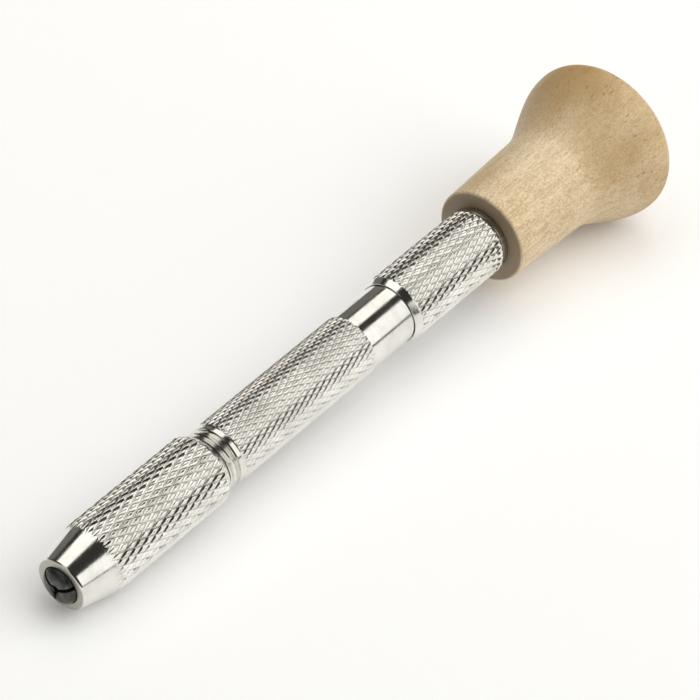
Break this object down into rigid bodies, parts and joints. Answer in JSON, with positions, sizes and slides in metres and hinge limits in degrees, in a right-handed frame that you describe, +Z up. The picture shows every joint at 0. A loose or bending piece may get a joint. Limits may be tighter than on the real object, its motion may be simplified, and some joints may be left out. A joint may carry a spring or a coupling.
{
  "type": "swivel-head hand drill",
  "caption": "Slim knurled metal hand drill with a screw-down collet chuck at its nose, a screw-on tail cap and a turned wooden palm head that swivels.",
  "frame": {"origin": "on the tool's axis, at mid length between the tips of the collet's jaws and the crown of the wooden head", "axes": "+X along the axis from the nose to the wooden head, +Z up with the tool lying level, +Y completes the right-handed set"},
  "size_m": [0.1082, 0.0216, 0.0216],
  "materials": {
    "nickel_plate": "bright nickel plate, diamond knurled where gripped",
    "black_steel": "black oxide, satin",
    "plain_steel": "turned steel",
    "brass": "plain brass",
    "turned_wood": "pale close-grained hardwood, turned and sanded, nearly unfinished"
  },
  "bodies": {
    "barrel": {"barrel": "nickel_plate", "spare_collet": "black_steel"},
    "front_collet": {"front_collet": "black_steel"},
    "chuck_cap": {"chuck_cap": "nickel_plate"},
    "thrust_washer": {"thrust_washer": "plain_steel"},
    "tail_cap": {"tail_cap": "nickel_plate"},
    "palm_head": {"wooden_head": "turned_wood", "swivel_screw": "plain_steel", "screw_washer": "brass"}
  },
  "joints": [
    {"name": "collet_slide", "type": "slide", "parent": "barrel", "child": "front_collet", "axis": [-1, 0, 0], "range_m": [0, 0.003]},
    {"name": "chuck_cap_turn", "type": "hinge", "parent": "front_collet", "child": "chuck_cap", "pos_m": [-0.041, 0, 0], "axis": [-1, 0, 0], "range_deg": [0, 1440]},
    {"name": "tail_slide", "type": "slide", "parent": "barrel", "child": "thrust_washer", "axis": [1, 0, 0], "range_m": [0, 0.003]},
    {"name": "tail_cap_turn", "type": "hinge", "parent": "thrust_washer", "child": "tail_cap", "pos_m": [0.014, 0, 0], "axis": [1, 0, 0], "range_deg": [0, 1440]},
    {"name": "head_swivel", "type": "hinge", "parent": "thrust_washer", "child": "palm_head", "pos_m": [0.0235, 0, 0], "axis": [1, 0, 0], "continuous": true}
  ],
  "couplings": [
    {"joint": "chuck_cap_turn", "follows": "collet_slide", "rad_per_m": 8377.6},
    {"joint": "tail_cap_turn", "follows": "tail_slide", "rad_per_m": 8377.6}
  ]
}
